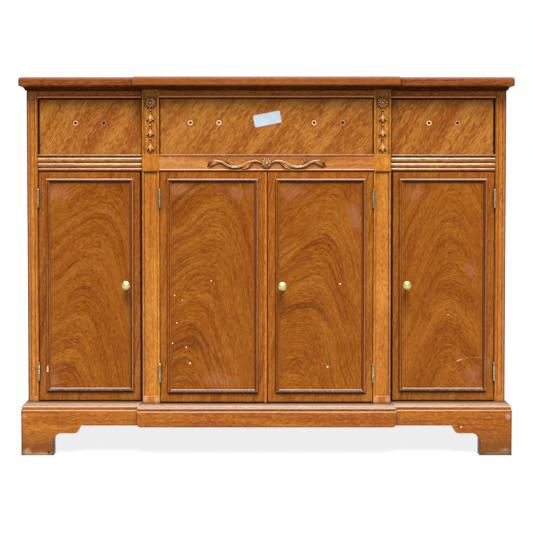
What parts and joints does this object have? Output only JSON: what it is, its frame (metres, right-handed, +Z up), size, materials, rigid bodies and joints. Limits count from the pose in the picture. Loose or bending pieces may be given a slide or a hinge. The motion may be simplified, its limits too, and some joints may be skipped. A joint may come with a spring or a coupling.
{
  "type": "cabinet",
  "caption": "Breakfront mahogany sideboard cabinet with drawers over panelled doors, reeded and carved rails, fluted corners and a bracket-foot plinth.",
  "frame": {"origin": "on the floor under the middle of the whole bounding box, knobs included", "axes": "+X to the right as seen from the front, +Y to the back, +Z up; the doors face -Y"},
  "size_m": [1.2144, 0.424, 0.934],
  "materials": {
    "mahogany": "satin french polish",
    "top_mahogany": "satin french polish",
    "drawer_veneer": "satin french polish",
    "flame_veneer": "satin french polish",
    "door_moulding": "satin french polish",
    "carcase_wood": "unpolished secondary wood",
    "drawer_lining": "bare planed wood",
    "polished_brass": "polished, slightly worn",
    "aged_brass": "dull and tarnished",
    "catch_body": "brown moulded housing"
  },
  "bodies": {
    "case": {"back_panel": "carcase_wood", "base_moulding": "mahogany", "bottom_board": "carcase_wood", "case_hinge_leaves": "aged_brass", "catch_magnets": "catch_body", "centre_rail": "mahogany", "drawer_guides": "carcase_wood", "drawer_kickers": "carcase_wood", "dust_boards": "carcase_wood", "end_stile_left": "mahogany", "end_stile_right": "mahogany", "flower_drop_left": "mahogany", "flower_drop_right": "mahogany", "glue_blocks": "carcase_wood", "partition_left": "carcase_wood", "partition_right": "carcase_wood", "pilaster_left": "mahogany", "pilaster_right": "mahogany", "plinth_back": "carcase_wood", "plinth_centre": "mahogany", "plinth_side_left": "mahogany", "plinth_side_right": "mahogany", "plinth_wing_left": "mahogany", "plinth_wing_right": "mahogany", "reeded_rail_left": "mahogany", "reeded_rail_right": "mahogany", "shelf_cleats": "carcase_wood", "shelves": "carcase_wood", "side_panel_left": "mahogany", "side_panel_right": "mahogany", "top_board": "top_mahogany", "top_moulding": "mahogany", "top_rails": "mahogany", "vine_carving": "mahogany"},
    "left_door": {"door_left": "flame_veneer", "door_frame_left": "door_moulding", "door_fittings_left": "aged_brass", "knob_left": "polished_brass"},
    "centre_left_door": {"door_centre_left": "flame_veneer", "door_frame_centre_left": "door_moulding", "door_fittings_centre_left": "aged_brass", "meeting_bead": "door_moulding"},
    "centre_right_door": {"door_centre_right": "flame_veneer", "door_frame_centre_right": "door_moulding", "door_fittings_centre_right": "aged_brass", "knob_centre_right": "polished_brass"},
    "right_door": {"door_right": "flame_veneer", "door_frame_right": "door_moulding", "door_fittings_right": "aged_brass", "knob_right": "polished_brass"},
    "left_drawer": {"drawer_front_left": "drawer_veneer", "drawer_box_left": "drawer_lining", "drawer_bottom_left": "drawer_lining"},
    "centre_drawer": {"drawer_front_centre": "drawer_veneer", "drawer_box_centre": "drawer_lining", "drawer_bottom_centre": "drawer_lining"},
    "right_drawer": {"drawer_front_right": "drawer_veneer", "drawer_box_right": "drawer_lining", "drawer_bottom_right": "drawer_lining"}
  },
  "joints": [
    {"name": "left_door_hinge", "type": "hinge", "parent": "case", "child": "left_door", "pos_m": [-0.5656, -0.17115, 0.4155], "axis": [0, 0, -1], "range_deg": [0, 165]},
    {"name": "centre_left_door_hinge", "type": "hinge", "parent": "case", "child": "centre_left_door", "pos_m": [-0.263, -0.18715, 0.4155], "axis": [0, 0, -1], "range_deg": [0, 165]},
    {"name": "centre_right_door_hinge", "type": "hinge", "parent": "case", "child": "centre_right_door", "pos_m": [0.263, -0.18715, 0.4155], "axis": [0, 0, 1], "range_deg": [0, 165]},
    {"name": "right_door_hinge", "type": "hinge", "parent": "case", "child": "right_door", "pos_m": [0.5656, -0.17115, 0.4155], "axis": [0, 0, 1], "range_deg": [0, 165]},
    {"name": "left_drawer_slide", "type": "slide", "parent": "case", "child": "left_drawer", "axis": [0, -1, 0], "range_m": [0, 0.26]},
    {"name": "centre_drawer_slide", "type": "slide", "parent": "case", "child": "centre_drawer", "axis": [0, -1, 0], "range_m": [0, 0.26]},
    {"name": "right_drawer_slide", "type": "slide", "parent": "case", "child": "right_drawer", "axis": [0, -1, 0], "range_m": [0, 0.26]}
  ]
}
